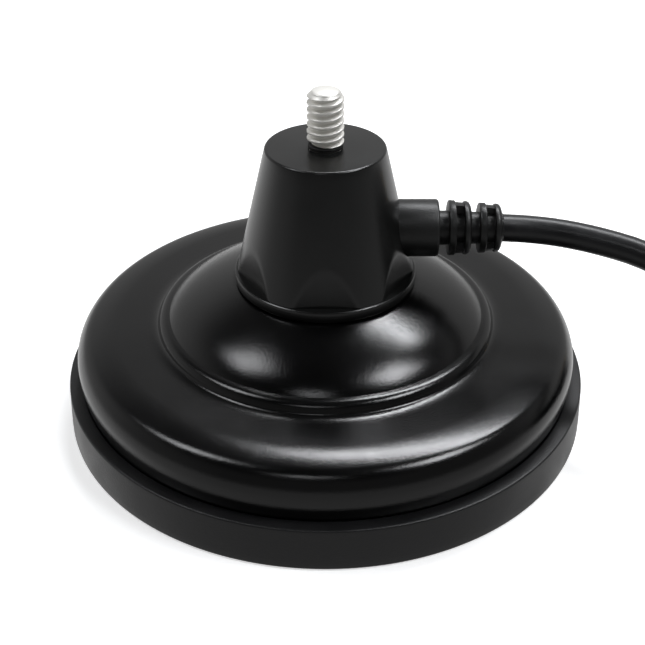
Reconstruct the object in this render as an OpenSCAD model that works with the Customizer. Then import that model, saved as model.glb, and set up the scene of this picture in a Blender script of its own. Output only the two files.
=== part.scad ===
// Magnetic-mount base of an omnidirectional antenna, with its coaxial lead.
// Origin on the floor at the centre of the base. The threaded stud points along +Z.
// The lead leaves the hub along +X.

/* [Base] */
// Outer diameter of the rubber boot at its top edge
boot_d = 96; // [95:0.5:98]
// Height of the boot's ledge above the floor
boot_h = 8.1; // [7.5:0.1:9]
// Width that the boot's foot spreads beyond its top edge
boot_spread = 0.3; // [0:0.1:0.6]
// Thickness of the boot's floor under the magnet
boot_floor = 1; // [0.8:0.1:1.2]
// Outer diameter of the steel cup at its bulge
cup_d = 92; // [91:0.5:92.5]
// Height of the flat ring on top of the cup
cup_ring_z = 17.55; // [17.4:0.05:17.8]
// Height of the small plateau that the hub stands on
plateau_z = 26.05; // [25.8:0.05:26.3]
// Thickness of the pressed steel
cup_t = 1; // [0.8:0.1:1.1]
// Outer diameter of the ring magnet
magnet_d = 80; // [78:1:81]
// Inner diameter of the ring magnet
magnet_hole_d = 40; // [38:1:44]

/* [Hub] */
// Diameter of the hub's flange
flange_d = 32.7; // [32.5:0.1:33]
// Height of the flange's upper edge
flange_z = 28.3; // [28.2:0.1:28.5]
// Diameter of the cone just above the flange
cone_d = 31.8; // [31.6:0.1:32]
// Diameter of the cone at its top
hub_top_d = 20.9; // [20.5:0.1:21.5]
// Height of the hub's top face
hub_top_z = 51.65; // [51:0.05:52.5]
// Width across the six spanner flats at the cone's foot
hub_af = 29.6; // [29.4:0.1:30]
// Lean of the spanner flats, in degrees
flat_lean = 4; // [0:0.5:5]

/* [Antenna stud] */
// Major diameter of the stud's thread (1/4"-20 UNC)
stud_d = 6.35; // [6.35]
// Height of the stud's tip
stud_top_z = 61.8; // [61:0.1:63]
// Height of the dark seal between the hub and the thread
seal_h = 0.95; // [0.9:0.05:1]

/* [Coaxial lead] */
// Outer diameter of the coaxial cable (RG-58)
cable_d = 4.95; // [4.95]
// Height of the cable's axis where it leaves the hub
cable_z = 36; // [35.8:0.1:36.2]
// Where the strain relief's last rib ends
relief_end_x = 31; // [30.8:0.1:31.2]
// Outer diameter of the strain relief's sleeve
relief_d = 10.2; // [10:0.1:10.4]
// Centre of the wound coil along X
coil_x = 128; // [126:1:130]
// Centre of the wound coil along Y
coil_y = 12; // [10:1:14]

/* [Connector] */
// Width across the flats of the coupling nut (SMA plug)
nut_af = 8; // [8]
// Diameter of the connector's rubber boot
conn_boot_d = 9.5; // [9.4:0.1:9.8]

/* [Hidden] */
$fn = 96;
gap = 0.02;                                // clearance between pressed or glued faces
boot_r = boot_d / 2;
foot_r = boot_r + boot_spread;
cup_r = cup_d / 2;
cup_foot_r = cup_r - 0.6;                  // radius of the cup where the boot grips it
shoulder_r = 5;                            // round shoulder between the ring and the wall
shoulder_z = cup_ring_z - shoulder_r;
ease_wide_r = 20;                          // the ring first falls away on this wide radius,
ease_tight_r = 3.3;                        // then turns on this one down into the shoulder
ease_a = 76;                               // direction at which the two radii meet
ease_shift = (shoulder_r - ease_tight_r) * cos(45);
ease_x = cup_r - shoulder_r + ease_shift;
ease_z = shoulder_z + ease_shift;
ease_wide_x = ease_x - (ease_wide_r - ease_tight_r) * cos(ease_a);
bulge_r = 16.8;                            // radius that rolls the wall in under the bulge
bead_r = 1.8;                              // small bead at the foot of the dome
bead_x = 29.1;
plateau_r = 16.6;
cup_hole_r = 7.1;
magnet_top = 13;
plate_r = magnet_d / 2 - 2;
plate_hole_r = 13;
adhesive_t = 0.3;
plate_z = magnet_top + adhesive_t;
plate_top = cup_ring_z - cup_t;
gasket_t = 0.3;
hub_z = plateau_z + gasket_t;              // underside of the hub's flange
cone_r = cone_d / 2;
hub_top_r = hub_top_d / 2;
cavity_r = 7.9;
cavity_top = 45;
bush_r = 7;
bush_bottom = 17.5;
bush_flange_r = 12;
bush_flange_t = 2;
screw_pitch_r = 9.6;
screw_top = 34;
screw_r = 1.1;
screw_head_r = 2.3;
screw_head_t = 1.2;
pilot_gap = 0.1;                           // clearance round a screw's thread
washer_t = 1;
stud_r = stud_d / 2;
shank_r = 3;                               // M6 shank below the seal
stud_tip = 0.8;                            // chamfer at the stud's tip
stud_foot = 38.2;
stud_flange_t = 1.8;
stud_neck_r = 2.4;
lug_t = 0.7;
lug_z = cavity_top - stud_flange_t - lug_t;
stud_nut_t = 3.6;
cable_r = cable_d / 2;
core_r = 1.475;                            // polyethylene core
wire_r = 0.45;                             // centre conductor
relief_r = relief_d / 2;
core_end_x = relief_end_x - 0.3;           // the core stops short of the cable's first ring
relief_in_x = 9;                           // inner end of the strain relief, inside the hub
slot_w = 1.5;                              // the slots in the strain relief's ribs
slot_span = 120;                           // degrees of the rib that each slot takes
slot_lean = 26;                            // degrees that the slots are turned up from level
slot_floor_r = 2.9;
jacket_in_x = 6;                           // where the cable's jacket is cut back
coil_in_r = 18;
coil_out_r = 38;
coil_h = 20;
tie_t = 0.6;
coil_top = tie_t + coil_h;
tie_w = 8;
// Connector axis: it lies on the coil and points along -X
conn_y = coil_y + 28;
conn_z = coil_top + conn_boot_d / 2;
conn_x = coil_x + 6;                       // rear end of the connector's boot
conn_boot_l = 15;
ferrule_end = 18;
nut_start = 21.2;
nut_end = 29;
nut_bore_r = 3.25;
body_r = 2.6;                              // sleeve that the nut turns on
body_end = 25.6;
groove_s = 23;                             // groove of the ring that keeps the nut on
insulator_s = 15.5;
insulator_r = 2.05;

// Route of the lead from the strain relief to the coil
LEAD = [
    [31, 0, 36], [36, 0, 35.7], [42, -1, 35.4], [49, -3, 34.7], [56, -6, 33.6], [64, -10.5, 31],
    [71, -15, 27], [77, -18.5, 21.7], [83, -21, 15.5], [89, -22.5, 9.8], [96, -23.3, 5.2],
    [104, -23.6, 2.8], [112, -23.6, 2.6], [120, -23.5, 3.1]
];
// Route from the coil's top turn to the connector
TAIL = [
    [134, -23, 18.5], [142, -20.5, 21], [150, -15, 22.8], [156, -7.5, 23.5], [159.5, 1.5, 23.7],
    [160.5, 11, 23.8], [159.3, 20.4, 23.8], [155.7, 28, 24], [150, 34.1, 24.5], [143, 38.2, 25.1],
    [134, 40, 25.35], [127, 40, 25.35], [119.5, 40, 25.35]
];

function arc(cx, cz, r, a0, a1, n) =
    [for (i = [0 : n]) let (a = a0 + (a1 - a0) * i / n) [cx + r * cos(a), cz + r * sin(a)]];
function bezier(p, n) =
    [for (i = [0 : n]) let (t = i / n, u = 1 - t)
        u * u * u * p[0] + 3 * u * u * t * p[1] + 3 * u * t * t * p[2] + t * t * t * p[3]];

// Outline of the cup's skin, from the plateau out and down to the rim, sunk in by the depth d
function dome(d) = bezier([
    [plateau_r - 0.3 * d, plateau_z - d], [20.8 - 0.3 * d, 24.75 - d],
    [26 - 0.5 * d, 22.75 - d], [28.7 - 0.8 * d, 19.7 - 0.6 * d]], 14);
function cup_skin(d) = concat(
    [[cup_hole_r, plateau_z - d]],
    dome(d),
    arc(bead_x, cup_ring_z + 0.3 - 0.4 * d, bead_r - d, 85, 15, 5),
    [[31.5 - d, cup_ring_z - d]],
    arc(ease_wide_x, cup_ring_z - ease_wide_r, ease_wide_r - d, 90, ease_a, 4),
    arc(ease_x, ease_z, ease_tight_r - d, ease_a - 4, 49, 3),
    arc(cup_r - shoulder_r, shoulder_z, shoulder_r - d, 45, 0, 6),
    arc(cup_r - bulge_r, shoulder_z, bulge_r - d, -3, -15, 4),
    [[cup_foot_r - d, boot_h - 0.5], [cup_foot_r - d, boot_floor]]);
function flip(p) = [for (i = [len(p) - 1 : -1 : 0]) p[i]];

// Unit tangent of a route at point i, and the ring of points round it
function unit(v) = v / norm(v);
function tangent(p, i) = unit(p[min(i + 1, len(p) - 1)] - p[max(i - 1, 0)]);
function ring(c, t, r, n) =
    let (side = unit(cross(t, [0, 0, 1])), up = cross(side, t))
    [for (k = [0 : n - 1]) c + r * (cos(360 * k / n) * side + sin(360 * k / n) * up)];

// Closed tube of radius r along the route p, with n sides
module sweep(p, r, n = 10) {
    rings = [for (i = [0 : len(p) - 1]) each ring(p[i], tangent(p, i), r, n)];
    last = (len(p) - 1) * n;
    sides = [for (i = [0 : len(p) - 2]) for (k = [0 : n - 1])
        [i * n + k, (i + 1) * n + k, (i + 1) * n + (k + 1) % n, i * n + (k + 1) % n]];
    ends = [[for (k = [0 : n - 1]) k], [for (k = [n - 1 : -1 : 0]) last + k]];
    polyhedron(rings, concat(sides, ends), convexity = 6);
}

module tube(r_out, r_in, h) {
    difference() {
        cylinder(r = r_out, h = h);
        translate([0, 0, -1]) cylinder(r = r_in, h = h + 2);
    }
}

module hexagon(af, h) {
    cylinder(r = af / 2 / cos(30), h = h, $fn = 6);
}

// Turns a piece built along +Z so that it lies along +X at the cable's height
module along_x(x) {
    translate([x, 0, cable_z]) rotate([0, 90, 0]) children();
}

// Turns a piece built along +Z so that it lies along the connector's axis
module on_connector(s) {
    translate([conn_x - s, conn_y, conn_z]) rotate([0, -90, 0]) children();
}

module rubber_boot() {
    groove_w = 1.2;
    groove_t = 0.4;
    color([0.05, 0.05, 0.05]) difference() {
        rotate_extrude() polygon(concat(
            [[0, 0], [foot_r - 0.5, 0], [foot_r, 0.6]],
            arc(boot_r - 0.4, boot_h - 0.4, 0.4, 5, 85, 3),
            [[cup_foot_r + 0.3, boot_h], [cup_foot_r + gap, boot_h - 0.4],
             [cup_foot_r + gap, boot_floor - gap], [0, boot_floor - gap]]));
        for (r = [20, 30, 40])
            translate([0, 0, -1]) tube(r + groove_w, r, 1 + groove_t);
    }
}

module steel_cup() {
    color([0.03, 0.03, 0.04])
        rotate_extrude() polygon(concat(cup_skin(0), flip(cup_skin(cup_t))));
}

module ring_magnet() {
    color([0.2, 0.2, 0.21])
        translate([0, 0, boot_floor]) tube(magnet_d / 2, magnet_hole_d / 2, magnet_top - boot_floor);
}

module magnet_adhesive() {
    color([0.75, 0.7, 0.55])
        translate([0, 0, magnet_top]) tube(magnet_d / 2 - 2, magnet_hole_d / 2 + 2, adhesive_t);
}

module pole_plate() {
    color([0.6, 0.6, 0.62])
        translate([0, 0, plate_z]) tube(plate_r, plate_hole_r, plate_top - plate_z);
}

module magnet_spacer() {
    notches = 12;
    ring_h = 7;
    color([0.85, 0.85, 0.82]) difference() {
        translate([0, 0, boot_floor]) tube(cup_foot_r - cup_t - 0.1, magnet_d / 2 + 0.1, ring_h);
        for (i = [0 : notches - 1])
            rotate(360 / notches * i)
                translate([magnet_d / 2 + 2.2, -3, boot_floor + 2]) cube([6, 6, ring_h]);
    }
}

// Cuts the six spanner flats round the foot of the cone
module spanner_flats() {
    for (a = [30 : 60 : 330])
        rotate(a) translate([hub_af / 2, -10, flange_z])
            rotate([0, -flat_lean, 0]) cube([6, 20, 12]);
}

module hub_body() {
    rim = 0.4;
    color([0.06, 0.06, 0.06]) difference() {
        union() {
            difference() {
                rotate_extrude() polygon(concat(
                    [[0, hub_z], [cone_r, hub_z], [cone_r, flange_z]],
                    arc(hub_top_r - rim, hub_top_z - rim, rim, 14, 90, 3),
                    [[0, hub_top_z]]));
                spanner_flats();
            }
            translate([0, 0, hub_z]) cylinder(r = flange_d / 2 - 0.2, h = flange_z - hub_z);
            translate([0, 0, hub_z + 0.2]) cylinder(r = flange_d / 2, h = flange_z - hub_z - 0.4);
        }
        translate([0, 0, hub_z - 1]) cylinder(r = cavity_r, h = cavity_top - hub_z + 1);
        translate([0, 0, hub_z - 1]) cylinder(r = bush_flange_r + gap, h = bush_flange_t + 1);
        translate([0, 0, hub_z]) cylinder(r = shank_r + gap, h = stud_top_z);
        along_x(0) cylinder(r = cable_r + 0.05, h = 20);
        along_x(relief_in_x) cylinder(r = relief_r + gap, h = 20);
        screw_places() cylinder(r = screw_r + pilot_gap, h = screw_top - hub_z + 0.2);
    }
}

module hub_gasket() {
    color([0.08, 0.08, 0.08])
        translate([0, 0, plateau_z]) tube(flange_d / 2 - 0.6, cup_hole_r, gasket_t);
}

module screw_places() {
    for (a = [60, 180, 300])
        rotate(a) translate([screw_pitch_r, 0, hub_z]) children();
}

module hub_bush() {
    color([0.8, 0.65, 0.3]) difference() {
        union() {
            translate([0, 0, hub_z]) cylinder(r = bush_flange_r, h = bush_flange_t);
            translate([0, 0, bush_bottom]) cylinder(r = bush_r, h = hub_z - bush_bottom + 1);
        }
        translate([0, 0, bush_bottom - 1]) cylinder(r = 4, h = 20);
        screw_places() {
            translate([0, 0, -1]) cylinder(r = screw_r + pilot_gap, h = 5);
            translate([0, 0, -gap])
                cylinder(r1 = screw_head_r + pilot_gap, r2 = screw_r + pilot_gap,
                    h = screw_head_t + gap);
        }
    }
}

module hub_nut() {
    nut_t = 4.5;
    color([0.75, 0.75, 0.76])
        translate([0, 0, plateau_z - cup_t - washer_t - nut_t]) difference() {
            hexagon(19, nut_t);
            translate([0, 0, -1]) cylinder(r = bush_r + gap, h = nut_t + 2);
        }
}

module lock_washer() {
    teeth = 12;
    color([0.7, 0.7, 0.72])
        translate([0, 0, plateau_z - cup_t - washer_t]) difference() {
            tube(11.2, bush_r + 0.1, washer_t);
            for (i = [0 : teeth - 1])
                rotate(360 / teeth * i) translate([9.4, -0.6, -1]) cube([4, 1.2, 4]);
        }
}

module hub_screws() {
    color([0.7, 0.7, 0.72]) screw_places() difference() {
        union() {
            cylinder(r1 = screw_head_r, r2 = screw_r, h = screw_head_t);
            cylinder(r = screw_r, h = screw_top - hub_z);
        }
        for (a = [0, 90])
            rotate(a) translate([-1.2, -0.25, -1]) cube([2.4, 0.5, 1.6]);
    }
}

module antenna_stud() {
    thread_z = hub_top_z + seal_h;
    color([0.85, 0.85, 0.86]) {
        translate([0, 0, stud_foot]) cylinder(r = shank_r, h = hub_top_z - stud_foot);
        translate([0, 0, hub_top_z - 1]) cylinder(r = stud_neck_r, h = seal_h + 2);
        translate([0, 0, thread_z]) cylinder(r = stud_r, h = stud_top_z - stud_tip - thread_z);
        translate([0, 0, stud_top_z - stud_tip])
            cylinder(r1 = stud_r, r2 = stud_r - 0.7, h = stud_tip);
        translate([0, 0, cavity_top - stud_flange_t]) hexagon(11, stud_flange_t);
    }
}

module stud_seal() {
    color([0.04, 0.04, 0.04])
        translate([0, 0, hub_top_z]) tube(stud_r, stud_neck_r, seal_h);
}

module stud_lug() {
    color([0.8, 0.7, 0.4]) translate([0, 0, lug_z]) difference() {
        union() {
            cylinder(r = 5.2, h = lug_t);
            translate([-7.2, -1.2, 0]) cube([4, 2.4, lug_t]);
        }
        translate([0, 0, -1]) cylinder(r = shank_r + gap, h = 4);
    }
}

module stud_nut() {
    color([0.75, 0.75, 0.76]) translate([0, 0, lug_z - stud_nut_t]) difference() {
        hexagon(9.5, stud_nut_t);
        translate([0, 0, -1]) cylinder(r = shank_r + gap, h = stud_nut_t + 2);
    }
}

module ground_tag() {
    color([0.8, 0.8, 0.78])
        translate([0, 0, hub_z + bush_flange_t]) tube(6.8, 4.2, 0.5);
}

module braid_pigtail() {
    tag_top = hub_z + bush_flange_t + 0.5;
    color([0.75, 0.6, 0.45]) {
        along_x(jacket_in_x - 1.6) tube(2, core_r + gap, 1.6);
        translate([jacket_in_x - 0.8, 0, tag_top]) cylinder(r = 0.75, h = cable_z - 1.7 - tag_top);
    }
}

module centre_conductor() {
    reach = -6.4;
    color([0.8, 0.45, 0.25]) {
        along_x(reach) cylinder(r = wire_r, h = core_end_x - reach);
        translate([reach, 0, cable_z]) sphere(r = wire_r);
        translate([reach, 0, cable_z]) cylinder(r = wire_r, h = lug_z - cable_z);
    }
}

module cable_core() {
    start_x = 1.5;
    color([0.92, 0.92, 0.9]) along_x(start_x) tube(core_r, wire_r + gap, core_end_x - start_x);
}

module lead_in_jacket() {
    color([0.05, 0.05, 0.05])
        along_x(jacket_in_x) tube(cable_r, core_r + gap, relief_end_x - jacket_in_x);
}

// One rib of the strain relief, with a slot round each side that leaves a bridge between them
module relief_rib(x, w, r0, r1) {
    lip = (w - slot_w) / 2;
    difference() {
        along_x(x) rotate_extrude() polygon([
            [cable_r, 0], [r0, 0], [r0, lip], [r0 - 0.3, lip + 0.2], [r1 - 0.3, w - lip - 0.2],
            [r1, w - lip], [r1 - 0.1, w - 0.6], [r1 - 0.6, w], [cable_r, w]]);
        for (side = [90, 270])
            along_x(x + lip) rotate([0, 0, side - slot_lean - slot_span / 2])
                rotate_extrude(angle = slot_span) translate([slot_floor_r, 0])
                    square([r0, slot_w]);
    }
}

module strain_relief() {
    sleeve_end = 19.95;
    color([0.05, 0.05, 0.05]) {
        along_x(relief_in_x) tube(relief_r, cable_r + gap, sleeve_end - relief_in_x);
        along_x(sleeve_end - 1) tube(3.05, cable_r + gap, 3);
        relief_rib(21.7, 3.9, 4.9, 4.75);
        along_x(25) tube(2.85, cable_r + gap, 3);
        relief_rib(27.1, relief_end_x - 27.1, 4.45, 4.3);
    }
}

module coax_cable() {
    color([0.05, 0.05, 0.05]) sweep(LEAD, cable_r);
}

module cable_coil() {
    soft = 2.4;                            // round of the outer turns
    r_mid = (coil_in_r + coil_out_r) / 2;
    color([0.05, 0.05, 0.05]) translate([coil_x, coil_y, 0]) rotate_extrude() polygon(concat(
        arc(coil_out_r - soft, tie_t + soft, soft, -90, 0, 4),
        arc(coil_out_r - soft, coil_top - soft, soft, 0, 90, 4),
        [[r_mid, coil_top]],
        arc(coil_in_r + soft, coil_top - soft, soft, 90, 180, 4),
        arc(coil_in_r + soft, tie_t + soft, soft, 180, 270, 4)));
}

module coil_ties() {
    in_x = sqrt(coil_in_r * coil_in_r - tie_w * tie_w / 4);
    color([0.12, 0.12, 0.13])
        for (a = [0, 180])
            translate([coil_x, coil_y, 0]) rotate(a) difference() {
                translate([in_x - tie_t, -tie_w / 2, 0])
                    cube([coil_out_r - in_x + 2 * tie_t, tie_w, coil_h + 2 * tie_t]);
                translate([in_x, -tie_w, tie_t])
                    cube([coil_out_r - in_x, 2 * tie_w, coil_h]);
            }
}

module cable_tail() {
    color([0.05, 0.05, 0.05]) sweep(TAIL, cable_r);
}

module connector_boot() {
    color([0.06, 0.06, 0.06]) on_connector(0) difference() {
        union() {
            cylinder(r1 = 3.8, r2 = conn_boot_d / 2, h = 4);
            translate([0, 0, 4]) cylinder(r = conn_boot_d / 2, h = conn_boot_l - 4);
        }
        translate([0, 0, -1]) cylinder(r = cable_r + gap, h = 6);
        translate([0, 0, 4]) cylinder(r = 3.5 + gap, h = conn_boot_l);
    }
}

module connector_ferrule() {
    color([0.8, 0.68, 0.35]) on_connector(4) tube(3.5, cable_r + gap, ferrule_end - 4);
}

module connector_body() {
    collar_end = nut_start - 0.1;
    color([0.82, 0.7, 0.36]) on_connector(0) difference() {
        union() {
            translate([0, 0, 15.5]) cylinder(r = cable_r - 0.1, h = 3);
            translate([0, 0, ferrule_end]) intersection() {
                hexagon(8, 2.2);
                cylinder(r = 4.5, h = 2.2);
            }
            translate([0, 0, ferrule_end + 2]) cylinder(r = 3.6, h = collar_end - ferrule_end - 2);
            translate([0, 0, collar_end - 1]) cylinder(r = body_r, h = body_end - collar_end + 1);
        }
        translate([0, 0, 10]) cylinder(r = insulator_r + gap, h = 30);
        translate([0, 0, groove_s]) tube(4, 2.25, 0.7);
    }
}

module coupling_nut() {
    collar_l = 1.2;
    shoulder_l = 1.6;
    nut_l = nut_end - nut_start;
    corner_r = nut_af / 2 / cos(30);
    color([0.85, 0.72, 0.38]) on_connector(nut_start) difference() {
        union() {
            cylinder(r = nut_af / 2 - 0.25, h = nut_l);
            intersection() {
                translate([0, 0, collar_l]) hexagon(nut_af, nut_l - collar_l);
                rotate_extrude() polygon([
                    [0, 0], [nut_af / 2 + 0.1, collar_l], [corner_r - 0.1, collar_l + 0.5],
                    [corner_r - 0.1, nut_l - 0.5], [nut_af / 2 + 0.1, nut_l], [0, nut_l]]);
            }
        }
        translate([0, 0, -1]) cylinder(r = body_r + 0.05, h = 4);
        translate([0, 0, shoulder_l]) cylinder(r = nut_bore_r, h = nut_l);
    }
}

module retaining_ring() {
    color([0.8, 0.6, 0.3]) on_connector(groove_s + 0.05) difference() {
        tube(3.05, 2.3, 0.6);
        translate([-0.5, 0, -1]) cube([1, 4, 3]);
    }
}

module connector_gasket() {
    color([0.7, 0.2, 0.15]) on_connector(groove_s + 0.85) tube(3.1, body_r + gap, 0.8);
}

module connector_dielectric() {
    color([0.95, 0.95, 0.93])
        on_connector(insulator_s) tube(insulator_r, wire_r + gap, body_end - 0.2 - insulator_s);
}

module connector_pin() {
    pin_l = 11.5;
    color([0.85, 0.7, 0.3]) on_connector(insulator_s) {
        cylinder(r = wire_r, h = pin_l);
        translate([0, 0, pin_l]) cylinder(r1 = wire_r, r2 = 0.15, h = 0.6);
    }
}

rubber_boot();
steel_cup();
ring_magnet();
magnet_adhesive();
pole_plate();
magnet_spacer();
hub_body();
hub_gasket();
hub_bush();
hub_nut();
lock_washer();
hub_screws();
antenna_stud();
stud_seal();
stud_lug();
stud_nut();
ground_tag();
braid_pigtail();
centre_conductor();
cable_core();
lead_in_jacket();
strain_relief();
coax_cable();
cable_coil();
coil_ties();
cable_tail();
connector_boot();
connector_ferrule();
connector_body();
coupling_nut();
retaining_ring();
connector_gasket();
connector_dielectric();
connector_pin();
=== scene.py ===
"""The looks of a magnetic-mount antenna base and its coaxial lead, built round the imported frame.

Lengths in the outlines are millimetres, and MM turns them into the frame's metres.
"""

import math

import bmesh
import bpy
from mathutils import Matrix, Vector, noise


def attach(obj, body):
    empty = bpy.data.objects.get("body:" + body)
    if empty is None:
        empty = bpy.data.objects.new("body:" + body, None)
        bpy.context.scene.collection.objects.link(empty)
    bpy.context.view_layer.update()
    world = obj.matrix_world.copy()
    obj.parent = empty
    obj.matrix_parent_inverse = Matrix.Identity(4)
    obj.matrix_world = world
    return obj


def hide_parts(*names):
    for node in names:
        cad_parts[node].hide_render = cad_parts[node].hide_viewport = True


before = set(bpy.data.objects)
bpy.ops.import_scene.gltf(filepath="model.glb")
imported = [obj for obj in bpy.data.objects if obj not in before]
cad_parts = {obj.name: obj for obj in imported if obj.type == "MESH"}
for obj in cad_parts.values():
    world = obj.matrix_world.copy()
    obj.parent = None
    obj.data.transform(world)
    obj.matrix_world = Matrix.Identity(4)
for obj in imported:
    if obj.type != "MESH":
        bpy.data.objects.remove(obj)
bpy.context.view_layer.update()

MM = 0.001
TURN = 2 * math.pi

# ---------------------------------------------------------------- camera

CAMERA_AT = (0, -0.18091, 0.13355)
CAMERA_TILT = 56.96
CAMERA_LENS = 64.32
CAMERA_SHIFT = -0.00456


def make_camera():
    """The camera, at the reference view's angle."""
    data = bpy.data.cameras.new("camera")
    data.sensor_width = 36
    data.lens = CAMERA_LENS
    data.shift_x = CAMERA_SHIFT
    data.clip_start = 0.01
    camera = bpy.data.objects.new("camera", data)
    camera.location = CAMERA_AT
    camera.rotation_euler = (math.radians(CAMERA_TILT), 0, 0)
    bpy.context.scene.collection.objects.link(camera)
    bpy.context.scene.camera = camera


# ---------------------------------------------------------------- mesh helpers


def shell(name, rows, ends="cap", sharp=32, body="base"):
    """A closed mesh skinned over rows of points, each row a closed loop of the same count.

    ends is "cap" to close the first and last rows, or "loop" to join the last row to the first.
    """
    mesh = bpy.data.meshes.new(name)
    build = bmesh.new()
    verts = [[build.verts.new(point) for point in row] for row in rows]
    count = len(rows[0])
    pairs = list(zip(verts, verts[1:]))
    if ends == "loop":
        pairs.append((verts[-1], verts[0]))
    for low, high in pairs:
        for i in range(count):
            j = (i + 1) % count
            build.faces.new((low[i], low[j], high[j], high[i]))
    if ends == "cap":
        build.faces.new(verts[0])
        build.faces.new(verts[-1])
    bmesh.ops.recalc_face_normals(build, faces=build.faces)
    build.to_mesh(mesh)
    build.free()
    smooth(mesh, sharp)
    piece = bpy.data.objects.new(name, mesh)
    bpy.context.scene.collection.objects.link(piece)
    if body:
        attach(piece, body)
    return piece


def smooth(mesh, sharp):
    """Smooth shading, with edges sharper than the angle left crisp."""
    for face in mesh.polygons:
        face.use_smooth = True
    mesh.set_sharp_from_angle(angle=math.radians(sharp))


def arc(x, z, r, start, end, steps):
    """Points along an arc, as (x, z) in millimetres."""
    angles = [math.radians(start + (end - start) * i / steps) for i in range(steps + 1)]
    return [(x + r * math.cos(a), z + r * math.sin(a)) for a in angles]


def bezier(p, steps):
    """Points along a cubic Bezier curve, as (x, z) in millimetres."""
    found = []
    for i in range(steps + 1):
        t = i / steps
        u = 1 - t
        w = (u**3, 3 * u * u * t, 3 * u * t * t, t**3)
        found.append(tuple(sum(k * q[axis] for k, q in zip(w, p)) for axis in (0, 1)))
    return found


def turned(outline, count, place=Matrix.Identity(4)):
    """Rows of points for an outline of (radius, height) in millimetres turned round +Z."""
    return field_rows(round_levels(outline), count, place)


def field_rows(levels, count, place=Matrix.Identity(4)):
    """Rows for levels of (height, radius as a function of the angle), in millimetres."""
    rows = []
    for height, radius in levels:
        row = []
        for i in range(count):
            a = TURN * i / count
            r = radius(a)
            row.append(place @ Vector((r * math.cos(a), r * math.sin(a), height)) * MM)
        rows.append(row)
    return rows


def blend_min(a, b, k):
    """The smaller of two lengths, with the corner between them rounded over k."""
    h = max(k - abs(a - b), 0) / k
    return min(a, b) - h * h * k / 4


def round_at(r):
    """A round section, as a function of the angle."""
    return lambda a: r


def hexagon_at(across_flats):
    """A hexagonal section, as a function of the angle."""
    return lambda a: across_flats / 2 / math.cos((a + TURN / 12) % (TURN / 6) - TURN / 12)


def round_levels(outline):
    """Round levels for an outline of (radius, height)."""
    return [(height, round_at(r)) for r, height in outline]


def cut(piece, *cutters):
    """Cuts closed shells out of a piece and throws the cutters away."""
    for cutter in cutters:
        tool = piece.modifiers.new("cut", "BOOLEAN")
        tool.operation = "DIFFERENCE"
        tool.solver = "EXACT"
        tool.object = cutter
    bpy.context.view_layer.update()
    graph = bpy.context.evaluated_depsgraph_get()
    made = bpy.data.meshes.new_from_object(piece.evaluated_get(graph))
    piece.modifiers.clear()
    piece.data = made
    for cutter in cutters:
        bpy.data.objects.remove(cutter)


def joined(name, parts):
    """One object out of several, under one name, that rides the base."""
    build = bmesh.new()
    for part in parts:
        build.from_mesh(part.data)
    mesh = bpy.data.meshes.new(name)
    build.to_mesh(mesh)
    build.free()
    for part in parts:
        bpy.data.objects.remove(part)
    smooth(mesh, 32)
    piece = bpy.data.objects.new(name, mesh)
    bpy.context.scene.collection.objects.link(piece)
    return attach(piece, "base")


# ---------------------------------------------------------------- the lead

CABLE_D = 4.95
CABLE_Z = 36
RELIEF_IN = 9
RELIEF_END = 31
COIL = (128, 12)
COIL_COLUMNS = (35.5, 30.5, 25.5, 20.5)
COIL_LAYERS = (3.1, 8.1, 13.1, 18.1)
COIL_POINTS = 24

LEAD = [
    [31, 0, 36], [36, 0, 35.7], [42, -1, 35.4], [49, -3, 34.7], [56, -6, 33.6], [64, -10.5, 31],
    [71, -15, 27], [77, -18.5, 21.7], [83, -21, 15.5], [89, -22.5, 9.8], [96, -23.3, 5.2],
    [104, -23.6, 2.8], [112, -23.6, 2.6], [120, -23.5, 3.1],
]
TAIL = [
    [134, -23, 18.5], [142, -20.5, 21], [150, -15, 22.8], [156, -7.5, 23.5], [159.5, 1.5, 23.7],
    [160.5, 11, 23.8], [159.3, 20.4, 23.8], [155.7, 28, 24], [150, 34.1, 24.5], [143, 38.2, 25.1],
    [134, 40, 25.35], [127, 40, 25.35], [119.5, 40, 25.35],
]


def coil_steps():
    """The moves of the winding, as (turn at which it starts, column, layer after it).

    The turns run inwards on the first layer, outwards on the second, and so on. Each layer steps
    from column to column in its own zone of the turn, before the layer above climbs, so that the
    turns never share a place.
    """
    zone = 0.12
    inner = len(COIL_COLUMNS) - 1
    moves = []
    turn, column, layer, start = 0, 0, 0, 0.84
    while True:
        direction = 1 if layer % 2 == 0 else -1
        for _ in range(inner):
            column += direction
            moves.append((turn + start, column, layer))
            turn += 1
        if layer == len(COIL_LAYERS) - 1:
            return moves, turn, zone
        start -= zone
        layer += 1
        moves.append((turn + start, column, layer))
        turn += 1
        start -= zone


def coil_route():
    """Points along the wound length, anticlockwise seen from above, from its front."""
    moves, turns, zone = coil_steps()
    points = []
    for i in range(turns * COIL_POINTS + 1):
        t = i / COIL_POINTS
        r, z = COIL_COLUMNS[0], COIL_LAYERS[0]
        for start, column, layer in moves:
            share = min(max((t - start) / zone, 0), 1)
            share = share * share * (3 - 2 * share)
            r += (COIL_COLUMNS[column] - r) * share
            z += (COIL_LAYERS[layer] - z) * share
        a = TURN * t - TURN / 4
        points.append([COIL[0] + r * math.cos(a), COIL[1] + r * math.sin(a), z])
    return points


def through(points, steps):
    """A smooth line through points, in metres."""
    p = [Vector(q) * MM for q in points]
    p = [2 * p[0] - p[1]] + p + [2 * p[-1] - p[-2]]
    line = []
    for a, b, c, d in zip(p, p[1:], p[2:], p[3:]):
        for i in range(steps):
            t = i / steps
            line.append(
                0.5 * (2 * b + (c - a) * t + (2 * a - 5 * b + 4 * c - d) * t * t
                       + (3 * b - a - 3 * c + d) * t**3)
            )
    line.append(p[-2])
    return line


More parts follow.
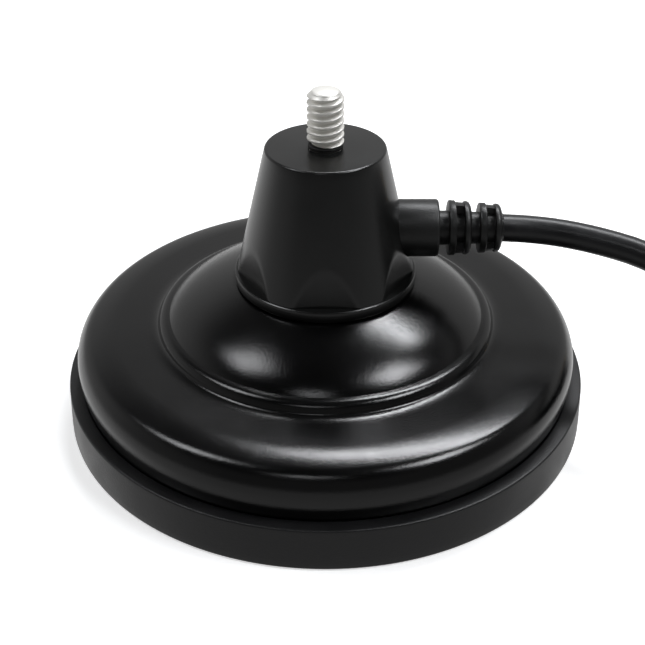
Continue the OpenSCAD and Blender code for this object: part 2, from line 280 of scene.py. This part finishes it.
def tube_rows(line, radius, sides):
    """Rings round a line that turn no more than the line does."""
    rows = []
    side = Vector((0, 1, 0))
    for i, point in enumerate(line):
        along = (line[min(i + 1, len(line) - 1)] - line[max(i - 1, 0)]).normalized()
        side = (side - along * side.dot(along)).normalized()
        up = along.cross(side)
        ring = [TURN * k / sides for k in range(sides)]
        rows.append([point + radius * (math.cos(a) * side + math.sin(a) * up) for a in ring])
    return rows


def make_lead():
    """The whole lead as one tube, from the strain relief through the coil to the connector."""
    line = through(LEAD + coil_route() + TAIL, 3)
    lead = shell("coax_lead", tube_rows(line, CABLE_D / 2 * MM, 20))
    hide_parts("coax_cable", "cable_coil", "cable_tail")
    return lead, line


# ---------------------------------------------------------------- the base

BOOT_R = 48
BOOT_H = 8.1
BOOT_GROOVES = (20, 30, 40)
GROOVE_DEPTH = 0.4
CUP_R = 46
CUP_FOOT_R = 45.4
SHEET = 1
RING_Z = 17.55
SHOULDER_R = 5
EASE_WIDE_R = 20
EASE_TIGHT_R = 3.3
EASE_MEET = 76
BULGE_R = 16.8
PLATEAU_R = 16.6
CUP_TOP = 26.05
# The bead round the dome's foot: its centre's radius and height, and its own radius
BEAD = (29.1, 17.85, 1.8)


def make_boot():
    """The rubber boot: a crisp upper edge, a ledge round the cup and grooves underneath."""
    lip = 0.35
    outline = []
    for r in BOOT_GROOVES:
        outline += [(r, 0), (r + 0.1, GROOVE_DEPTH), (r + 1.1, GROOVE_DEPTH), (r + 1.2, 0)]
    outline += arc(BOOT_R - 0.3, 0.6, 0.6, -90, 0, 5)
    outline += [(BOOT_R + 0.27, 2), (BOOT_R + 0.16, 4.5), (BOOT_R + 0.02, 7.2)]
    outline += arc(BOOT_R - lip, BOOT_H - lip, lip, 0, 90, 6)
    outline += [(46.6, BOOT_H - 0.02)]
    outline += arc(CUP_FOOT_R + 0.32, BOOT_H - 0.3, 0.28, 90, 180, 4)
    outline += [(CUP_FOOT_R + 0.03, 6), (CUP_FOOT_R + 0.03, 0.98)]
    boot = shell("boot_moulding", turned(outline, 256))
    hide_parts("rubber_boot")
    return boot


def cup_skin(d):
    """The cup's outline from its hole out and down to its rim, sunk in by the depth d."""
    x, z, r = BEAD
    dome = [
        (PLATEAU_R - 0.3 * d, CUP_TOP - d), (20.8 - 0.3 * d, 24.75 - d),
        (26 - 0.5 * d, 22.75 - d), (28.7 - 0.8 * d, 19.7 - 0.6 * d),
    ]
    foot = [(30.84 - d, 18.3 - d), (30.97 - d, 17.82 - d), (31.6 - d, RING_Z - d),
            (33.4 - d, RING_Z - d)]
    shoulder_z = RING_Z - SHOULDER_R
    ease = (SHOULDER_R - EASE_TIGHT_R) * math.cos(math.radians(45))
    ease_x, ease_z = CUP_R - SHOULDER_R + ease, shoulder_z + ease
    wide_x = ease_x - (EASE_WIDE_R - EASE_TIGHT_R) * math.cos(math.radians(EASE_MEET))
    points = [(7.1, CUP_TOP - d), (12, CUP_TOP - d), (15.6, CUP_TOP - d)] + bezier(dome, 32)
    points += arc(x, z - 0.4 * d, r - d, 85, 15, 10)
    points += bezier(foot, 8)[1:]
    points += [(36, RING_Z - d)]
    points += arc(wide_x, RING_Z - EASE_WIDE_R, EASE_WIDE_R - d, 90, EASE_MEET, 10)
    points += arc(ease_x, ease_z, EASE_TIGHT_R - d, EASE_MEET - 4, 49, 7)
    points += arc(CUP_R - SHOULDER_R, shoulder_z, SHOULDER_R - d, 45, 0, 14)
    points += arc(CUP_R - BULGE_R, shoulder_z, BULGE_R - d, -2, -15, 8)
    points += [(CUP_FOOT_R - d, 6), (CUP_FOOT_R - d, 1)]
    return points


def make_cup():
    """The pressed steel cup, painted inside and out."""
    outline = cup_skin(0) + cup_skin(SHEET)[::-1]
    cup = shell("cup_pressing", turned(outline, 288), ends="loop", sharp=40)
    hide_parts("steel_cup")
    return cup


# ---------------------------------------------------------------- the hub

FLANGE_R = 16.35
FLANGE_Z = 28.3
HUB_Z = 26.35
HUB_R = 15.9
HUB_TOP_R = 10.45
HUB_TOP = 51.65
HUB_RIM = 0.45
FLAT_R = 14.8
FLAT_LEAN = 4
FLATS_END = 36
BUSH_R = 12.02
BUSH_DEPTH = 2
CAVITY_R = 7.9
CAVITY_TOP = 45
STUD_BORE_R = 3.02
LEAD_BORE_R = 2.52
RELIEF_BORE_R = 5.12
SCREW_PITCH_R = 9.6
SCREW_BORE_R = 1.2
SCREW_BORE_TOP = 34.2


def cone_radius(z):
    """The hub's radius at a height, before its flats are cut."""
    return HUB_R + (HUB_TOP_R - HUB_R) * (z - FLANGE_Z) / (HUB_TOP - FLANGE_Z)


def hub_radius(z):
    """The hub's radius at a height as a function of the angle: a cone with six leaning flats."""
    flat = FLAT_R - (z - FLANGE_Z) * math.tan(math.radians(FLAT_LEAN))

    def radius(a):
        off = a % (TURN / 6) - TURN / 12
        return blend_min(cone_radius(z), flat / math.cos(off), 0.16)

    return radius


def along_x(x):
    """Places a shape turned round +Z so that it lies along +X on the lead's axis."""
    return Matrix.Translation((x, 0, CABLE_Z)) @ Matrix.Rotation(TURN / 4, 4, "Y")


def hub_cutters():
    """The hub's bores: bush and cavity, lead and relief, and the three blind screw holes."""
    inside = [(BUSH_R, HUB_Z - 1), (BUSH_R, HUB_Z + BUSH_DEPTH), (CAVITY_R, HUB_Z + BUSH_DEPTH),
              (CAVITY_R, CAVITY_TOP), (STUD_BORE_R, CAVITY_TOP), (STUD_BORE_R, HUB_TOP + 1)]
    entry = [(LEAD_BORE_R, 0), (LEAD_BORE_R, RELIEF_IN), (RELIEF_BORE_R, RELIEF_IN),
             (RELIEF_BORE_R, 25)]
    screw = [(SCREW_BORE_R, HUB_Z - 1), (SCREW_BORE_R, SCREW_BORE_TOP)]
    cutters = [shell("cut_inside", turned(inside, 64), body=None),
               shell("cut_entry", turned(entry, 64, along_x(0)), body=None)]
    for angle in (60, 180, 300):
        place = (Matrix.Rotation(math.radians(angle), 4, "Z")
                 @ Matrix.Translation((SCREW_PITCH_R, 0, 0)))
        cutters.append(shell(f"cut_{angle}", turned(screw, 24, place), body=None))
    return cutters


def make_hub():
    """The moulded hub: flange, cone with spanner flats, rounded rim, and its bores."""
    levels = round_levels([
        (FLANGE_R - 0.25, HUB_Z), (FLANGE_R - 0.06, HUB_Z + 0.1), (FLANGE_R, HUB_Z + 0.25),
        (FLANGE_R, FLANGE_Z - 0.25), (FLANGE_R - 0.06, FLANGE_Z - 0.1), (FLANGE_R - 0.2, FLANGE_Z)])
    rim_z = HUB_TOP - HUB_RIM
    step = 0.2  # close rows where the flats run out, and wider ones above
    foot = [FLANGE_Z + step * i for i in range(int((FLATS_END - FLANGE_Z) / step) + 1)]
    upper = [FLATS_END + (rim_z - FLATS_END) * i / 16 for i in range(1, 16)]
    levels += [(z, hub_radius(z)) for z in foot + upper]
    levels += round_levels(arc(HUB_TOP_R - HUB_RIM + 0.08, rim_z, HUB_RIM, 13, 90, 8))
    hub = shell("hub_moulding", field_rows(levels, 384))
    cut(hub, *hub_cutters())
    smooth(hub.data, 32)
    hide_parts("hub_body")
    return hub


# ---------------------------------------------------------------- the stud

STUD_R = 3.175
STUD_TOP = 61.8
THREAD_Z = 52.6
THREAD_PITCH = 1.27
THREAD_DEPTH = 0.72
SHANK_R = 3
SHANK_Z = 38.2
NECK_R = 2.4
NECK_Z = 50.6
STUD_HEX_AF = 11
STUD_HEX_Z = (43.2, 45)


def thread_radius(z, major, depth, pitch):
    """A right-hand thread's radius at a height as a function of the angle.

    The root and the flank are shares of half a pitch, and the crest takes what they leave.
    """
    root, flank, rounding = 0.14, 0.66, 0.35

    def radius(a):
        phase = (z / pitch - a / TURN) % 1
        rise = 1 - abs(2 * phase - 1)
        share = min(max((rise - root) / flank, 0), 1)
        rounded = share * share * (3 - 2 * share)
        return major - depth + depth * (rounding * rounded + (1 - rounding) * share)

    return radius


def stud_limits(z):
    """The radii that the stud's chamfered tip and its thread's run-out allow at a height."""
    down = STUD_TOP - z
    tip = 2.2 + down if down > 0.3 else 2.5 - 0.4 * (1 - down / 0.3) ** 2
    run_out = 2.9 + 3 * (z - THREAD_Z)
    return tip, run_out


def threaded(z):
    """The stud's threaded section at a height, as a function of the angle."""
    thread = thread_radius(z, STUD_R, THREAD_DEPTH, THREAD_PITCH)
    tip, run_out = stud_limits(z)
    return lambda a: blend_min(blend_min(thread(a), tip, 0.12), run_out, 0.1)


def make_stud():
    """The antenna stud: threaded above the seal, with its flange and shank inside the hub."""
    low, high = STUD_HEX_Z
    start = THREAD_Z + 0.06
    levels = round_levels([(SHANK_R - 0.3, SHANK_Z), (SHANK_R, SHANK_Z + 0.3), (SHANK_R, low)])
    levels += [(low, hexagon_at(STUD_HEX_AF)), (high, hexagon_at(STUD_HEX_AF))]
    levels += round_levels([(SHANK_R, high), (SHANK_R, NECK_Z), (NECK_R, NECK_Z), (NECK_R, start)])
    rows = int((STUD_TOP - start) / 0.05)
    heights = [start + (STUD_TOP - start) * i / rows for i in range(rows + 1)]
    levels += [(z, threaded(z)) for z in heights]
    stud = shell("stud_screw", field_rows(levels, 120), sharp=50)
    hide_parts("antenna_stud")
    return stud


def make_seal():
    """The dark seal under the stud's thread."""
    bore_r = NECK_R + 0.02
    outline = [(bore_r, HUB_TOP + 0.02), (2.95, HUB_TOP + 0.02)]
    outline += arc(2.8, HUB_TOP + 0.5, 0.2, -60, 60, 6)
    outline += [(2.85, THREAD_Z - 0.02), (bore_r, THREAD_Z - 0.02)]
    seal = shell("stud_washer", turned(outline, 96), ends="loop")
    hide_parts("stud_seal")
    return seal


# ---------------------------------------------------------------- the strain relief

RELIEF_R = 5.1
NECK_RADII = (3.05, 2.85)
SLOT_W = 1.5
SLOT_SPAN = 120
SLOT_LEAN = 26
SLOT_FLOOR_R = 2.9


def slotted(r):
    """A rib's section with a slot round each side of it, as a function of the angle."""

    def radius(a):
        off = (math.degrees(a) + SLOT_LEAN) % 180 - 90
        return SLOT_FLOOR_R if abs(off) < SLOT_SPAN / 2 else r

    return radius


def rib_levels(x0, x1, r0, r1):
    """Levels of a rib that goes from x0 to x1 and from radius r0 to r1: lips with a slot between."""
    lip = (x1 - x0 - SLOT_W) / 2
    levels = round_levels([
        (r0 - 0.26, x0), (r0 - 0.08, x0 + 0.06), (r0, x0 + 0.19),
        (r0 - 0.03, x0 + lip - 0.12), (r0 - 0.14, x0 + lip - 0.01)])
    levels += [(x0 + lip, slotted(r0 - 0.3)), (x1 - lip, slotted(r1 - 0.3))]
    return levels + round_levels([
        (r1 - 0.14, x1 - lip + 0.01), (r1 - 0.03, x1 - lip + 0.12), (r1, x1 - 0.75),
        (r1 - 0.1, x1 - 0.42), (r1 - 0.32, x1 - 0.18), (r1 - 0.62, x1 - 0.03)])


def flash(x, rise):
    """The torn flash's section at a distance along the lead, as a function of the angle."""

    def radius(a):
        torn = noise.noise(Vector((math.cos(a) * 3, math.sin(a) * 3, x * 4)))
        return CABLE_D / 2 + rise * (0.55 + 0.9 * torn)

    return radius


def make_relief():
    """The strain relief: a sleeve, two slotted ribs on thin necks, and a torn edge of flash."""
    bore = round_at(CABLE_D / 2 + 0.01)
    first, second = NECK_RADII
    levels = round_levels([
        (RELIEF_R - 0.05, RELIEF_IN), (RELIEF_R, RELIEF_IN + 0.1), (RELIEF_R, 19.45),
        (RELIEF_R - 0.06, 19.75), (4.88, 19.92), (4.7, 19.95), (first, 19.97), (first, 21.68)])
    levels += rib_levels(21.7, 25.6, 4.9, 4.75)
    levels += round_levels([(second + 0.3, 25.6), (second, 25.72), (second, 27.08)])
    levels += rib_levels(27.1, RELIEF_END, 4.45, 4.3)
    levels += round_levels([(2.9, RELIEF_END)])
    for past, rise in ((0.1, 0.34), (0.32, 0.22), (0.42, 0.05)):
        levels.append((RELIEF_END + past, flash(RELIEF_END + past, rise)))
    levels += [(RELIEF_END, bore), (RELIEF_IN, bore)]
    relief = shell("relief_moulding", field_rows(levels, 180, along_x(0)), ends="loop", sharp=38)
    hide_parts("strain_relief")
    return relief


# ---------------------------------------------------------------- ties and plug

CONNECTOR = (134, 40, 25.35)


def on_connector(s):
    """Places a shape turned round +Z so that it lies along the connector's axis, along -X."""
    x, y, z = CONNECTOR
    return Matrix.Translation((x - s, y, z)) @ Matrix.Rotation(-TURN / 4, 4, "Y")


def strap_rows(place):
    """Rows of points for one flat strap round the coil's winding, with thinner edges."""
    width, thick, thinner = 8, 0.6, 0.12
    far, far_r = 35.6, 3
    near, near_r = 20, 2.9
    high = 21.2
    middle = Vector((28, 10.6))
    loop = (arc(far, far_r, far_r, -90, 0, 8) + arc(far, high - far_r, far_r, 0, 90, 8)
            + arc(near, high - near_r, near_r, 90, 180, 8) + arc(near, near_r, near_r, 180, 270, 8))
    rows = []
    for x, z in loop:
        inward = (middle - Vector((x, z))).normalized()
        outer, inner = [], []
        for share in (-1, -0.96, -0.5, 0, 0.5, 0.96, 1):
            sunk = thinner if abs(share) == 1 else 0
            for side, depth in ((outer, sunk), (inner, thick - sunk)):
                side.append((x + inward.x * depth, share * width / 2, z + inward.y * depth))
        rows.append([place @ Vector(point) * MM for point in outer + inner[::-1]])
    return rows


def make_ties():
    """Two woven straps round the coil, on opposite sides of it."""
    straps = []
    for side in (0, 1):
        place = Matrix.Translation((*COIL, 0)) @ Matrix.Rotation(TURN / 2 * side, 4, "Z")
        straps.append(shell(f"strap_{side}", strap_rows(place), ends="loop", body=None))
    ties = joined("coil_straps", straps)
    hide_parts("coil_ties")
    return ties


def make_plug_boot():
    """The connector's rubber boot, with three grip grooves."""
    r, groove_r, length = 4.74, 4.35, 15
    cable_bore, ferrule_bore = 2.5, 3.53
    outline = [(cable_bore, 0), (3.5, 0), (3.75, 0.15), (3.9, 0.6), (4.55, 3.6), (4.72, 4.1)]
    for s in (5.2, 7.6, 10):
        outline += [(r, s), (4.68, s + 0.15), (groove_r, s + 0.3), (groove_r, s + 1.1),
                    (4.68, s + 1.25), (r, s + 1.4)]
    outline += [(r, length - 0.7), (4.66, length - 0.2), (4.4, length), (ferrule_bore, length),
                (ferrule_bore, 4), (cable_bore, 4)]
    boot = shell("plug_sleeve", turned(outline, 96, on_connector(0)), ends="loop")
    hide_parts("connector_boot")
    return boot


NUT_START = 21.2
NUT_LENGTH = 7.8
NUT_AF = 8
NUT_COLLAR = 1.2
NUT_FACE_R = 3.86
NUT_CHAMFER = 0.55
# Major radius, depth and pitch
NUT_THREAD = (3.42, 0.3, 0.7056)


def nut_chamfer(share):
    """The nut's hexagon with its corners turned down, from none of them at 0 to all at 1."""
    corner = NUT_AF / 2 / math.cos(TURN / 12)
    limit = NUT_FACE_R + (corner + 0.02 - NUT_FACE_R) * math.sin(TURN / 4 * share)
    flats = hexagon_at(NUT_AF)
    return lambda a: blend_min(flats(a), limit, 0.08)


def make_nut():
    """The coupling nut: hexagon with turned corners, a collar, and its thread inside."""
    shares = [i / 6 for i in range(7)]
    levels = round_levels([(3.6, 0), (3.75, 0.12), (3.75, NUT_COLLAR - 0.05), (3.82, NUT_COLLAR)])
    levels += [(NUT_COLLAR + 0.02 + NUT_CHAMFER * t, nut_chamfer(t)) for t in shares]
    levels += [(NUT_LENGTH - 0.02 - NUT_CHAMFER * t, nut_chamfer(t)) for t in shares[::-1]]
    levels += round_levels([(3.7, NUT_LENGTH), (3.45, NUT_LENGTH)])
    mouth, thread_end, steps = NUT_LENGTH - 0.2, 3.6, 90
    for i in range(steps + 1):
        s = mouth - (mouth - thread_end) * i / steps
        levels.append((s, thread_radius(s, *NUT_THREAD)))
    levels += round_levels([(3.25, thread_end - 0.05), (3.25, 1.6), (2.65, 1.6), (2.65, 0)])
    nut = shell("coupling_hex", field_rows(levels, 96, on_connector(NUT_START)), ends="loop",
                body="plug_nut")
    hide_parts("coupling_nut")
    return nut


# ---------------------------------------------------------------- materials


def nodes_of(name):
    """A new material with its principled shader, and a maker of linked nodes."""
    material = bpy.data.materials.new(name)
    material.use_nodes = True
    tree = material.node_tree
    shader = tree.nodes["Principled BSDF"]

    def make(kind, **inputs):
        node = tree.nodes.new(kind)
        for key, value in inputs.items():
            socket = node.inputs[key.replace("_", " ")]
            if isinstance(value, bpy.types.NodeSocket):
                tree.links.new(value, socket)
            else:
                socket.default_value = value
        return node

    return material, tree, shader, make


# The mix node's sockets that carry colours
MIX_A, MIX_B, MIX_RESULT = 6, 7, 2


def mixed(tree, share, a, b):
    """A colour between two others, by a share from 0 to 1."""
    node = tree.nodes.new("ShaderNodeMix")
    node.data_type = "RGBA"
    tree.links.new(share, node.inputs["Factor"])
    for index, color in ((MIX_A, a), (MIX_B, b)):
        if isinstance(color, bpy.types.NodeSocket):
            tree.links.new(color, node.inputs[index])
        else:
            node.inputs[index].default_value = (*color, 1)
    return node.outputs[MIX_RESULT]


def combined(tree, operation, a, b):
    """The result of a maths operation on two sockets."""
    node = tree.nodes.new("ShaderNodeMath")
    node.operation = operation
    tree.links.new(a, node.inputs[0])
    tree.links.new(b, node.inputs[1])
    return node.outputs["Value"]


def finish(name, color, rough, grain=0.25, bump=0.3, vary=0.25, rough_vary=0.06, patch=9,
           metallic=0.0, dust=0.0, seam=False, weave=False):
    """A procedural finish: colour in patches, grain, and light dust. patch and grain are in mm."""
    material, tree, shader, make = nodes_of(name)
    place = make("ShaderNodeTexCoord").outputs["Object"]
    wide = make("ShaderNodeTexNoise", Vector=place, Scale=1000 / patch, Detail=4).outputs["Fac"]
    fine = make("ShaderNodeTexNoise", Vector=place, Scale=1000 / grain, Detail=3, Roughness=0.6)

    tint = make("ShaderNodeMapRange", Value=wide, From_Min=0.3, From_Max=0.7)
    darker = [c * (1 - vary) for c in color]
    paler = [min(c * (1 + vary), 1) for c in color]
    base = mixed(tree, tint.outputs["Result"], darker, paler)
    if dust:
        base = dusted(tree, make, place, base, dust)
    tree.links.new(base, shader.inputs["Base Color"])

    gloss = make("ShaderNodeMapRange", Value=wide, From_Min=0.3, From_Max=0.7,
                 To_Min=max(rough - rough_vary, 0.02), To_Max=rough + rough_vary)
    tree.links.new(gloss.outputs["Result"], shader.inputs["Roughness"])

    height = woven(tree, make, place, fine.outputs["Fac"]) if weave else fine.outputs["Fac"]
    relief = make("ShaderNodeBump", Height=height, Strength=bump, Distance=grain * MM * 0.35)
    if seam:
        relief = parting_line(tree, make, place, relief)
    tree.links.new(relief.outputs["Normal"], shader.inputs["Normal"])
    shader.inputs["Metallic"].default_value = metallic
    return material


def dusted(tree, make, place, base, amount):
    """Specks of pale dust over a colour."""
    specks = make("ShaderNodeTexNoise", Vector=place, Scale=1000 / 1.6, Detail=6).outputs["Fac"]
    mask = make("ShaderNodeMapRange", Value=specks, From_Min=0.58, From_Max=0.8, To_Max=amount)
    return mixed(tree, mask.outputs["Result"], base, (0.2, 0.19, 0.18))


def woven(tree, make, place, grain):
    """Threads over and under each other, added to the grain."""
    scale = 1000 / 3.2
    across = make("ShaderNodeTexWave", Vector=place, Scale=scale, Distortion=0.4)
    along = make("ShaderNodeTexWave", Vector=place, Scale=scale, Distortion=0.4)
    across.bands_direction = "Y"
    along.bands_direction = "DIAGONAL"
    threads = combined(tree, "MULTIPLY", across.outputs["Fac"], along.outputs["Fac"])
    return combined(tree, "ADD", threads, grain)


def parting_line(tree, make, place, relief):
    """A faint raised line where the mould's halves met, along X."""
    apart = make("ShaderNodeSeparateXYZ", Vector=place)
    size = tree.nodes.new("ShaderNodeMath")
    size.operation = "ABSOLUTE"
    tree.links.new(apart.outputs["Y"], size.inputs[0])
    line = make("ShaderNodeMapRange", Value=size.outputs["Value"],
                From_Min=0.04 * MM, From_Max=0.16 * MM, To_Min=1, To_Max=0)
    bump = make("ShaderNodeBump", Height=line.outputs["Result"], Strength=0.25, Distance=0.03 * MM)
    tree.links.new(relief.outputs["Normal"], bump.inputs["Normal"])
    return bump


def make_finishes():
    """Every finish of the part, by the record's slot name."""
    steel = dict(metallic=1.0, grain=0.12, bump=0.2, vary=0.08)
    return {
        "boot_rubber": finish("rubber", (0.007, 0.007, 0.0077), 0.42, grain=0.35, bump=0.3,
                              dust=0.02),
        "cup_paint": finish("cup_paint", (0.0012, 0.0012, 0.0013), 0.18, grain=0.35, bump=0.21,
                            rough_vary=0.02),
        "hub_plastic": finish("hub_abs", (0.0068, 0.007, 0.0068), 0.23, grain=0.3, bump=0.1,
                              rough_vary=0.03, seam=True),
        "relief_pvc": finish("relief_pvc", (0.007, 0.0073, 0.0072), 0.4, grain=0.3, bump=0.3,
                             dust=0.02),
        "cable_pvc": finish("cable_pvc", (0.006, 0.006, 0.007), 0.34, grain=0.4, bump=0.2,
                            dust=0.03, patch=5),
        "stud_metal": finish("stud_nickel", (0.92, 0.905, 0.86), 0.44, metallic=0.6, grain=0.12,
                             bump=0.1, vary=0.08),
        "seal_rubber": finish("seal_rubber", (0.008, 0.008, 0.008), 0.5),
        "gasket_rubber": finish("gasket_rubber", (0.01, 0.01, 0.01), 0.55),
        "ferrite": finish("ferrite", (0.05, 0.05, 0.055), 0.6, grain=0.5, bump=0.6),
        "adhesive": finish("adhesive", (0.6, 0.52, 0.34), 0.4, grain=1.2, bump=0.5),
        "plate_steel": finish("plate_steel", (0.55, 0.55, 0.57), 0.35, **steel),
        "spacer_plastic": finish("spacer_pa", (0.75, 0.74, 0.7), 0.45, grain=0.4),
        "bush_brass": finish("brass", (0.78, 0.58, 0.26), 0.28, **steel),
        "nut_steel": finish("nut_zinc", (0.66, 0.67, 0.7), 0.3, **steel),
        "screw_steel": finish("screw_zinc", (0.62, 0.62, 0.63), 0.3, **steel),
        "lug_tin": finish("lug_tin", (0.75, 0.72, 0.66), 0.32, **steel),
        "copper_wire": finish("copper", (0.8, 0.42, 0.26), 0.28, **steel),
        "tinned_braid": finish("tinned_braid", (0.7, 0.6, 0.5), 0.4, metallic=1.0, grain=0.2,
                               bump=0.8, weave=True),
        "polyethylene": finish("polyethylene", (0.85, 0.85, 0.83), 0.35, grain=0.5, bump=0.1),
        "tie_fabric": finish("tie_fabric", (0.02, 0.02, 0.022), 0.75, grain=0.25, bump=0.9,
                             weave=True, vary=0.35, dust=0.06),
        "plug_boot_rubber": finish("plug_rubber", (0.014, 0.014, 0.015), 0.48, grain=0.3, dust=0.04),
        "plug_gold": finish("gold_plate", (0.92, 0.68, 0.3), 0.2, **steel),
        "silicone": finish("silicone", (0.5, 0.07, 0.05), 0.4, grain=0.4),
        "ptfe": finish("ptfe", (0.88, 0.88, 0.86), 0.4, grain=0.4, bump=0.1),
    }


CAD_SLOTS = {
    "ring_magnet": "ferrite", "magnet_adhesive": "adhesive", "pole_plate": "plate_steel",
    "magnet_spacer": "spacer_plastic", "hub_gasket": "gasket_rubber", "hub_bush": "bush_brass",
    "hub_nut": "nut_steel", "lock_washer": "nut_steel", "hub_screws": "screw_steel",
    "stud_lug": "lug_tin", "stud_nut": "nut_steel", "ground_tag": "lug_tin",
    "braid_pigtail": "tinned_braid", "centre_conductor": "copper_wire",
    "cable_core": "polyethylene", "lead_in_jacket": "cable_pvc",
    "connector_ferrule": "plug_gold", "connector_body": "plug_gold",
    "retaining_ring": "plug_gold", "connector_gasket": "silicone",
    "connector_dielectric": "ptfe", "connector_pin": "plug_gold",
}


def paint(piece, material):
    """Gives a piece one finish."""
    piece.data.materials.clear()
    piece.data.materials.append(material)


# ---------------------------------------------------------------- studio


def make_floor():
    """A plain white floor that the object stands on."""
    half = 4
    mesh = bpy.data.meshes.new("floor")
    corners = [(-half, -half, 0), (half, -half, 0), (half, half, 0), (-half, half, 0)]
    mesh.from_pydata(corners, [], [(0, 1, 2, 3)])
    floor = bpy.data.objects.new("floor", mesh)
    bpy.context.scene.collection.objects.link(floor)
    material, _, shader, _ = nodes_of("floor_paper")
    shader.inputs["Base Color"].default_value = (0.9, 0.9, 0.9, 1)
    shader.inputs["Roughness"].default_value = 0.9
    shader.inputs["Specular IOR Level"].default_value = 0.1
    shader.inputs["Emission Color"].default_value = (1, 1, 1, 1)
    shader.inputs["Emission Strength"].default_value = 0.55
    paint(floor, material)
    floor.visible_glossy = False
    floor.visible_diffuse = False


# name: (direction from the object, distance, width, depth, radiance)
SOFTBOXES = {
    "left_box": ((-0.53, 0.03, 0.85), 0.9, 0.27, 0.27, 7),
    "right_box": ((0.53, -0.17, 0.83), 0.9, 0.3, 0.26, 13),
    "back_box": ((0.25, 0.485, 0.86), 0.9, 0.62, 0.09, 30),
    "front_box": ((-0.12, -0.62, 0.78), 1.0, 0.22, 0.1, 5),
}
SOFTBOX_COLOR = (0.96, 0.975, 1)
SOFTBOX_AIM = (0, 0, 0.02)


def softbox(name, towards, distance, wide, deep, radiance):
    """A soft area light in a direction from the object, aimed at the middle of the base."""
    data = bpy.data.lights.new(name, "AREA")
    data.shape = "RECTANGLE"
    data.size = wide
    data.size_y = deep
    data.energy = radiance * math.pi * wide * deep
    data.color = SOFTBOX_COLOR
    light = bpy.data.objects.new(name, data)
    aim = Vector(towards).normalized()
    light.location = aim * distance + Vector(SOFTBOX_AIM)
    light.rotation_euler = (-aim).to_track_quat("-Z", "Y").to_euler()
    bpy.context.scene.collection.objects.link(light)


FRONT_TO_BACK = (-0.3, 0.75)
FLOOR_TO_WALL = (-0.2, 0.06)
WALL_TO_CEILING = (0.45, 0.75)
LEFT_WALL = (-1, -0.6)


def room_light(world):
    """Lights the room unevenly: pale low down and behind, dim in front, dimmer still overhead.

    The spans above are of the unit direction, along X, Y or Z, over which the light changes.
    """
    tree = world.node_tree
    sky = tree.nodes["Background"]
    sky.inputs["Color"].default_value = (1, 1, 1, 1)
    apart = tree.nodes.new("ShaderNodeSeparateXYZ")
    towards = tree.nodes.new("ShaderNodeTexCoord").outputs["Generated"]
    tree.links.new(towards, apart.inputs["Vector"])

    def ramp(axis, span, low, high):
        share = tree.nodes.new("ShaderNodeMapRange")
        share.interpolation_type = "SMOOTHSTEP"
        tree.links.new(apart.outputs[axis], share.inputs["Value"])
        for name, value in zip(("From Min", "From Max", "To Min", "To Max"), (*span, low, high)):
            share.inputs[name].default_value = value
        return share.outputs["Result"]

    above = combined(tree, "MULTIPLY", ramp("Y", FRONT_TO_BACK, 0.12, 0.46),
                     ramp("Z", WALL_TO_CEILING, 1, 0.15))
    above = combined(tree, "MULTIPLY", above, ramp("Z", FLOOR_TO_WALL, 0, 1))
    below = combined(tree, "MULTIPLY", ramp("Y", FRONT_TO_BACK, 0.38, 0.95),
                     ramp("Z", FLOOR_TO_WALL, 1, 0))
    side = ramp("X", LEFT_WALL, 0.12, 0)
    total = combined(tree, "ADD", combined(tree, "ADD", above, below), side)
    tree.links.new(total, sky.inputs["Strength"])


def make_studio():
    """A dim room with four softboxes, shown without a film curve."""
    world = bpy.data.worlds.new("room")
    world.use_nodes = True
    room_light(world)
    scene = bpy.context.scene
    scene.world = world
    scene.view_settings.view_transform = "Standard"
    for name, settings in SOFTBOXES.items():
        softbox(name, *settings)


# ---------------------------------------------------------------- making it all

make_camera()
lead, lead_line = make_lead()
pieces = {
    "boot_rubber": make_boot(), "cup_paint": make_cup(), "hub_plastic": make_hub(),
    "stud_metal": make_stud(), "seal_rubber": make_seal(), "relief_pvc": make_relief(),
    "cable_pvc": lead, "tie_fabric": make_ties(), "plug_boot_rubber": make_plug_boot(),
    "plug_gold": make_nut(),
}
finishes = make_finishes()
for slot_name, piece in pieces.items():
    paint(piece, finishes[slot_name])
for node_name, slot_name in CAD_SLOTS.items():
    paint(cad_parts[node_name], finishes[slot_name])

make_floor()
make_studio()
